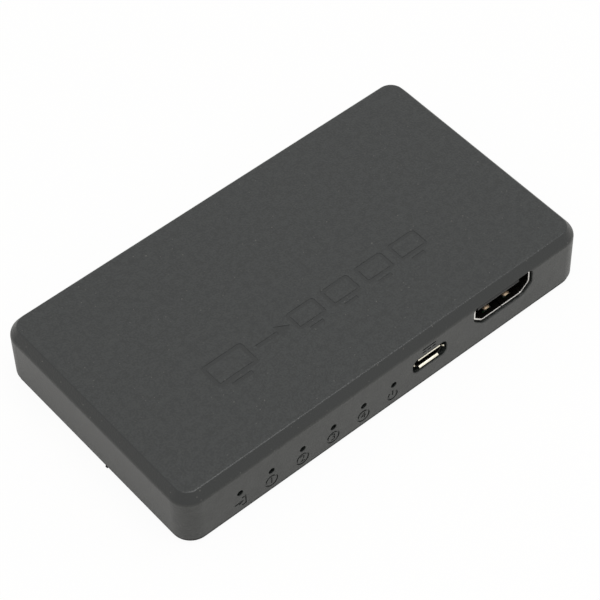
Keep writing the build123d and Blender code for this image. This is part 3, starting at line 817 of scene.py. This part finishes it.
for port, placing in hdmi_places.items():
    sheet = hdmi_sheet()
    bmesh.ops.transform(sheet, matrix=placing, verts=sheet.verts)
    shell = pressed(sheet, f"{port}_shell", hdmi_sheet_thickness, metal_edge)
    finished(shell, shell_finish, "plated_steel", f"{port}_hdmi_shell")
    fingers = hdmi_fingers()
    bmesh.ops.transform(fingers, matrix=placing, verts=fingers.verts)
    fingers = pressed(fingers, f"{port}_fingers", finger_thickness, metal_edge)
    finished(fingers, finger_finish, "plated_steel")
    coat(body_finish, f"{port}_hdmi_insulator")
    coat(gold_finish, f"{port}_hdmi_contacts")


# Micro-USB power inlet: a small folded shell of the same plated steel, whose four lips flare out at the mouth
# to guide the plug, on two stakes. Its black tongue has five contacts on the underside.
usb_form = (0.0069, 0.00185, 0.00075, 0.00095, 0.00025)
usb_half, usb_height = usb_form[0] / 2, usb_form[1]
usb_wall = 0.00025
usb_edge = 0.00004
usb_length = 0.005
top_lip, low_lip = 0.0028, 0.00245
side_lip_low, side_lip_high = 0.0012, 0.0016
lip_run = 0.0005
lip_rise = 0.00033
lip_curve = 1.6
stake_front, stake_back = 0.00295, 0.00385
stake_root, stake_tip = 0.001, -0.00235
usb_sheet = receptacle_sheet(usb_form, lip_run, usb_length)
scribe(usb_sheet, 0, -top_lip, top_lip, -low_lip, low_lip)
scribe(usb_sheet, 2, side_lip_low, side_lip_high)
lips = (
    (Vector((0, 0, 1)), lambda point: point.z > usb_height - 1e-5 and abs(point.x) < top_lip),
    (Vector((0, 0, -1)), lambda point: point.z < 1e-5 and abs(point.x) < low_lip),
    (Vector((1, 0, 0)), lambda point: point.x > usb_half - 1e-5 and side_lip_low < point.z < side_lip_high),
    (Vector((-1, 0, 0)), lambda point: point.x < 1e-5 - usb_half and side_lip_low < point.z < side_lip_high),
)
for outward, chosen in lips:
    edges = [edge for edge in usb_sheet.edges if all(abs(v.co.y - lip_run) < 1e-6 for v in edge.verts)]
    edges = [edge for edge in edges if chosen((edge.verts[0].co + edge.verts[1].co) / 2)]
    reached = 0.0
    for share in (0.34, 0.67, 1.0):
        drawn_out = bmesh.ops.extrude_edge_only(usb_sheet, edges=edges)["geom"]
        edges = [item for item in drawn_out if isinstance(item, bmesh.types.BMEdge)]
        moved = [item for item in drawn_out if isinstance(item, bmesh.types.BMVert)]
        rise = lip_rise * share ** lip_curve
        way = outward * (rise - reached) + Vector((0, -lip_run / 3, 0))
        bmesh.ops.translate(usb_sheet, vec=way, verts=moved)
        reached = rise
for side in (-1, 1):
    outline = [(stake_front, stake_root), (stake_front, stake_tip)]
    outline += [(stake_back, stake_tip), (stake_back, stake_root)]
    if side < 0:
        outline.reverse()
    usb_sheet.faces.new([usb_sheet.verts.new((side * usb_half, y, z)) for y, z in outline])
usb_floor = usb_high.z - usb_wall - lip_rise - usb_height
usb_place = Vector(((usb_low.x + usb_high.x) / 2, usb_low.y, usb_floor))
bmesh.ops.translate(usb_sheet, vec=usb_place, verts=usb_sheet.verts)
inlet_finish = Finish("nickel_inlet", Metallic=1.0)
# Past its lips the inlet shell is painted dark: painted shade inside the opening.
painted_shade_past_lips = inlet_finish.step(inlet_finish.along("Y"), usb_low.y + 0.0003, usb_low.y + 0.00048)
plate = nickel(inlet_finish, (0.74, 0.70, 0.58), (0.86, 0.82, 0.69))
inlet_finish.vary("Base Color", inlet_finish.tint(painted_shade_past_lips, plate, painted_inner_shade))
inlet = pressed(usb_sheet, "power_inlet_shell", usb_wall, usb_edge)
finished(inlet, inlet_finish, "plated_steel", "micro_usb_shell")
coat(body_finish, "micro_usb_insulator")
coat(gold_finish, "micro_usb_contacts")


# Indicators: side-looking packages soldered behind the holes. Each is a white reflector with a clear domed
# lens towards its hole.
lens_reach = 0.0004
lens_radius = 0.0005
package_round = 0.0001
led_finish = Finish("indicator", IOR=1.46, Coat_Weight=0.4, Coat_Roughness=0.08)
cast = led_finish.grain(0.0008, detail=2.0)
led_finish.wear(cast, (0.70, 0.70, 0.66), (0.80, 0.80, 0.77), 0.25, 0.12)
for number in range(1, 7):
    low, high = (Vector(corner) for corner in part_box(f"status_led_{number}"))
    package = round_block((low.x, low.y + lens_reach, low.z), high, package_round, 2)
    dome = Matrix.Translation(((low.x + high.x) / 2, low.y + lens_radius, (low.z + high.z) / 2))
    bmesh.ops.create_uvsphere(package, u_segments=20, v_segments=12, radius=lens_radius, matrix=dome)
    finished(to_object(package, f"indicator_{number}"), led_finish, "led_plastic", f"status_led_{number}")


# Circuit board and what is soldered on it: glass-fibre laminate under green mask, moulded chips with tinned
# leads, a shielded coil, a can capacitor and small ceramic parts. All of it is closed in by the case.
board_finish = Finish("solder_mask", Roughness=0.3, Coat_Weight=0.3, Coat_Roughness=0.15)
running = {"wave_type": "BANDS", "bands_direction": "DIAGONAL"}
wandering = {"Vector": board_finish.place(), "Scale": 160.0, "Distortion": 3.0, "Detail": 0.0}
tracks = board_finish.node("ShaderNodeTexWave", running, wandering, "Fac")
track = board_finish.step(tracks, 0.72, 0.8)
weave = board_finish.grain(0.0006, detail=1.0)
board_finish.vary("Base Color", board_finish.tint(track, (0.012, 0.075, 0.030), (0.030, 0.16, 0.060)))
board_finish.relief(track + weave * 0.2, 0.00002, 0.6)
coat(board_finish, "circuit_board")
chip_finish = Finish("chip_resin")
resin = chip_finish.grain(0.00015, detail=2.0)
chip_finish.wear(resin, (0.018, 0.018, 0.020), (0.032, 0.032, 0.034), 0.5, 0.2)
chip_finish.relief(resin, 0.00001, 0.6)
coat(chip_finish, "splitter_chip", "memory_chip", "main_regulator", "core_regulator", "surge_arrays")
tin_finish = Finish("tinned", Metallic=1.0)
solder = tin_finish.grain(0.0004, detail=3.0)
tin_finish.wear(solder, (0.60, 0.60, 0.61), (0.72, 0.72, 0.73), 0.25, 0.2)
coat(tin_finish, "splitter_chip_leads")
lid_finish = Finish("crystal_lid", Metallic=1.0)
brushed = lid_finish.grain(0.0005, (0.1, 1, 1), 3.0)
lid_finish.wear(brushed, (0.64, 0.62, 0.57), (0.74, 0.72, 0.66), 0.25, 0.15)
coat(lid_finish, "crystal")
ferrite_finish = Finish("ferrite")
sintered = ferrite_finish.grain(0.0003, detail=4.0)
ferrite_finish.wear(sintered, (0.020, 0.020, 0.022), (0.045, 0.045, 0.048), 0.6, 0.2)
ferrite_finish.relief(sintered, 0.00003, 0.7)
coat(ferrite_finish, "power_inductor")
can_finish = Finish("aluminium_can", Metallic=1.0)
rolled = can_finish.grain(0.0006, (1, 1, 0.1), 3.0)
can_finish.wear(rolled, (0.76, 0.76, 0.78), (0.84, 0.84, 0.86), 0.2, 0.15)
coat(can_finish, "bulk_capacitor")
ceramic_finish = Finish("fired_ceramic")
fired = ceramic_finish.grain(0.0004, detail=3.0)
ceramic_finish.wear(fired, (0.34, 0.24, 0.15), (0.44, 0.33, 0.22), 0.45, 0.15)
coat(ceramic_finish, "ceramic_capacitors")
glaze_finish = Finish("resistor_glaze", Coat_Weight=0.3)
glaze = glaze_finish.grain(0.0005, detail=2.0)
glaze_finish.wear(glaze, (0.012, 0.012, 0.013), (0.022, 0.022, 0.024), 0.3, 0.15)
coat(glaze_finish, "chip_resistors")
coat(screw_finish, "board_screws")


# Studio: a plain white floor that keeps a soft shadow, one wide soft lamp above and in front, and an even
# white surround, which the glossy plastic and metal show.
floor_half = 3.0
seen_glow = 0.94
glossy_glow = 0.32


def ray_kinds(graph):
    """Whether a ray comes straight from the camera, off something glossy, or through something clear."""
    kinds = ("Camera", "Glossy", "Transmission")
    return [graph.node("ShaderNodeLightPath", output=f"Is {kind} Ray") for kind in kinds]


paper = bmesh.new()
bmesh.ops.create_grid(paper, x_segments=1, y_segments=1, size=floor_half)
floor = bpy.data.objects.new("floor", bpy.data.meshes.new("floor"))
paper.to_mesh(floor.data)
paper.free()
bpy.context.collection.objects.link(floor)
floor_finish = Finish("floor_paper", Roughness=0.9, Base_Color=(0.95, 0.93, 0.89))
straight, glossy, clear = ray_kinds(floor_finish)
share = (straight + clear) * seen_glow + glossy * glossy_glow
glow = floor_finish.node("ShaderNodeEmission", None, {"Color": (1, 1, 1), "Strength": 1.0})
mixed = floor_finish.node("ShaderNodeMixShader", None, {0: share, 1: floor_finish.shader, 2: glow})
floor_finish.feed(floor_finish.surface, mixed)
floor.data.materials.append(floor_finish.material)

lamp_data = bpy.data.lights.new("soft_lamp", "AREA")
lamp_data.shape = "SQUARE"
lamp_data.size = 1.0
lamp_data.energy = 9.0
lamp = bpy.data.objects.new("soft_lamp", lamp_data)
lamp_place = Vector((0.05, -0.45, 1.3))
lamp.matrix_world = Matrix.Translation(lamp_place) @ lamp_place.to_track_quat("Z", "Y").to_matrix().to_4x4()
bpy.context.collection.objects.link(lamp)

world = bpy.data.worlds.new("surround")
bpy.context.scene.world = world
world.use_nodes = True
air = Graph(world.node_tree, "ShaderNodeOutputWorld")
straight, glossy, clear = ray_kinds(air)
shown = straight.combine("MAXIMUM", straight.combine("MAXIMUM", straight, glossy), clear)
soft = air.node("ShaderNodeBackground", None, {"Color": (1, 1, 1), "Strength": 0.6})
white = air.node("ShaderNodeBackground", None, {"Color": (1, 1, 1), "Strength": 1.0})
air.feed(air.surface, air.node("ShaderNodeMixShader", None, {0: shown, 1: soft, 2: white}))
bpy.context.scene.view_settings.view_transform = "Standard"
